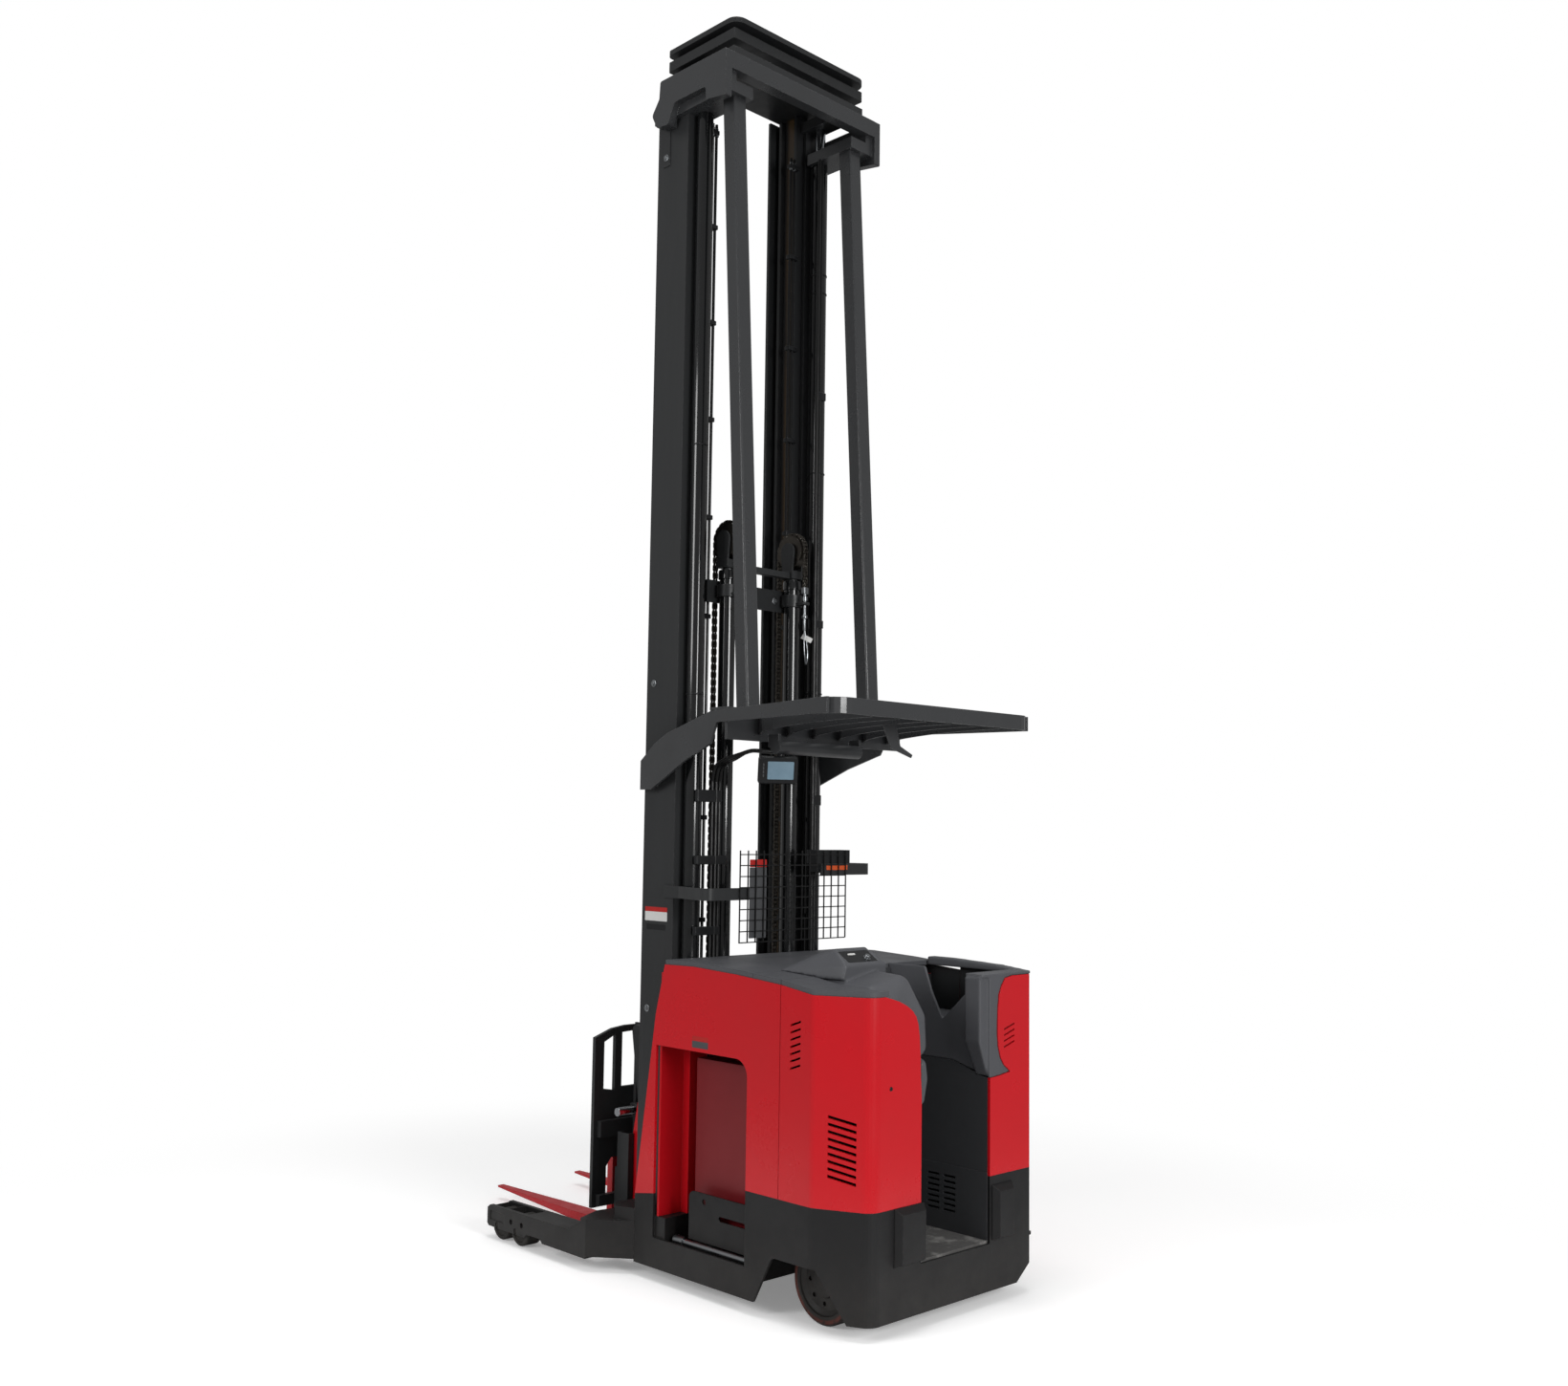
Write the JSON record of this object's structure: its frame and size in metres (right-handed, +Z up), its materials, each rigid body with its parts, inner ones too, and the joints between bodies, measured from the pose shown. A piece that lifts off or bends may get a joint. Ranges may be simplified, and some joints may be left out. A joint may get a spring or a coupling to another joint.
{
  "type": "reach truck",
  "caption": "Stand-up electric reach truck with a telescoping mast, pantograph reach forks, overhead guard and base legs.",
  "frame": {"origin": "middle of the bounding box, on the floor", "axes": "+X forward to the fork tips, +Y to the truck's left, +Z up"},
  "size_m": [3.0214, 1.51, 5.996],
  "materials": {
    "red_paint": "gloss",
    "black_steel": "satin",
    "charcoal_paint": "satin",
    "grey_plastic": "textured",
    "cylinder_steel": "gloss",
    "bright_steel": "satin",
    "wheel_rubber": "matte",
    "battery_case": "satin",
    "screen_plastic": "satin",
    "wire": "satin"
  },
  "bodies": {
    "chassis": {"frame_base": "black_steel", "bay_wall": "red_paint", "side_panel_left": "red_paint", "side_panel_right": "red_paint", "drive_cover": "red_paint", "rear_pillar": "red_paint", "top_cover": "grey_plastic", "console": "grey_plastic", "side_rim": "grey_plastic", "operator_walls": "black_steel", "floor_mat": "wheel_rubber", "bumper_posts": "black_steel", "battery": "battery_case", "battery_gate": "black_steel", "battery_rollers": "bright_steel", "outer_mast": "charcoal_paint", "mast_head": "charcoal_paint", "lift_cylinders": "cylinder_steel", "overhead_guard": "charcoal_paint", "guard_slats": "charcoal_paint", "guard_braces": "charcoal_paint", "mesh_screen": "wire", "mesh_brackets": "charcoal_paint", "mast_box": "screen_plastic", "display": "screen_plastic", "work_light": "charcoal_paint", "base_leg_left": "black_steel", "base_leg_right": "black_steel"},
    "middle_mast": {"middle_mast": "charcoal_paint", "lift_rods": "bright_steel"},
    "inner_mast": {"inner_mast": "charcoal_paint", "free_lift_cylinders": "cylinder_steel"},
    "crosshead": {"crosshead": "charcoal_paint", "sheaves": "bright_steel", "lift_chains": "bright_steel"},
    "mast_carriage": {"mast_carriage": "charcoal_paint"},
    "reach_outer": {"reach_arms_outer": "red_paint"},
    "reach_inner": {"reach_arms_inner": "charcoal_paint"},
    "reach_frame": {"reach_frame": "charcoal_paint"},
    "fork_carriage": {"fork_carriage": "charcoal_paint", "load_backrest": "charcoal_paint", "forks": "red_paint"},
    "drive_unit": {"drive_unit": "charcoal_paint"},
    "drive_wheel": {"drive_wheel": "wheel_rubber"},
    "caster": {"caster_fork": "charcoal_paint"},
    "caster_wheels": {"caster_wheels": "wheel_rubber"},
    "load_wheel_lf": {"load_wheel_lf": "wheel_rubber"},
    "load_wheel_lr": {"load_wheel_lr": "wheel_rubber"},
    "load_wheel_rf": {"load_wheel_rf": "wheel_rubber"},
    "load_wheel_rr": {"load_wheel_rr": "wheel_rubber"}
  },
  "joints": [
    {"name": "middle_mast_lift", "type": "slide", "parent": "chassis", "child": "middle_mast", "axis": [0, 0, 1], "range_m": [0, 4.15]},
    {"name": "inner_mast_lift", "type": "slide", "parent": "middle_mast", "child": "inner_mast", "axis": [0, 0, 1], "range_m": [0, 4.15]},
    {"name": "crosshead_lift", "type": "slide", "parent": "inner_mast", "child": "crosshead", "axis": [0, 0, 1], "range_m": [0, 2.15]},
    {"name": "carriage_lift", "type": "slide", "parent": "inner_mast", "child": "mast_carriage", "axis": [0, 0, 1], "range_m": [0, 4.3]},
    {"name": "reach", "type": "hinge", "parent": "mast_carriage", "child": "reach_outer", "pos_m": [0.12335, 0, 1.04], "axis": [0, -1, 0], "range_deg": [0, 42.5]},
    {"name": "reach_cross", "type": "hinge", "parent": "reach_outer", "child": "reach_inner", "pos_m": [0.21335, 0, 0.59909], "axis": [0, -1, 0], "range_deg": [-85, 0]},
    {"name": "reach_front", "type": "hinge", "parent": "reach_inner", "child": "reach_frame", "pos_m": [0.30335, 0, 1.04], "axis": [0, -1, 0], "range_deg": [0, 42.5]},
    {"name": "fork_tilt", "type": "hinge", "parent": "reach_frame", "child": "fork_carriage", "pos_m": [0.38335, 0, 0.33], "axis": [0, -1, 0], "range_deg": [-3, 4]},
    {"name": "steer", "type": "hinge", "parent": "chassis", "child": "drive_unit", "pos_m": [-1.18065, 0.404, 0.43], "axis": [0, 0, 1], "range_deg": [-90, 90]},
    {"name": "drive_wheel_spin", "type": "hinge", "parent": "drive_unit", "child": "drive_wheel", "pos_m": [-1.18065, 0.404, 0.1715], "axis": [0, 1, 0], "continuous": true},
    {"name": "caster_swivel", "type": "hinge", "parent": "chassis", "child": "caster", "pos_m": [-1.13365, -0.43, 0.22], "axis": [0, 0, 1], "continuous": true},
    {"name": "caster_spin", "type": "hinge", "parent": "caster", "child": "caster_wheels", "pos_m": [-1.17865, -0.43, 0.089], "axis": [0, 1, 0], "continuous": true},
    {"name": "load_spin_lf", "type": "hinge", "parent": "chassis", "child": "load_wheel_lf", "pos_m": [0.80635, 0.685, 0.075], "axis": [0, 1, 0], "continuous": true},
    {"name": "load_spin_lr", "type": "hinge", "parent": "chassis", "child": "load_wheel_lr", "pos_m": [0.64635, 0.685, 0.075], "axis": [0, 1, 0], "continuous": true},
    {"name": "load_spin_rf", "type": "hinge", "parent": "chassis", "child": "load_wheel_rf", "pos_m": [0.80635, -0.685, 0.075], "axis": [0, 1, 0], "continuous": true},
    {"name": "load_spin_rr", "type": "hinge", "parent": "chassis", "child": "load_wheel_rr", "pos_m": [0.64635, -0.685, 0.075], "axis": [0, 1, 0], "continuous": true}
  ],
  "couplings": [
    {"joint": "inner_mast_lift", "follows": "middle_mast_lift", "ratio": 1},
    {"joint": "crosshead_lift", "follows": "carriage_lift", "ratio": 0.5},
    {"joint": "reach_cross", "follows": "reach", "ratio": -2},
    {"joint": "reach_front", "follows": "reach", "ratio": 1}
  ]
}
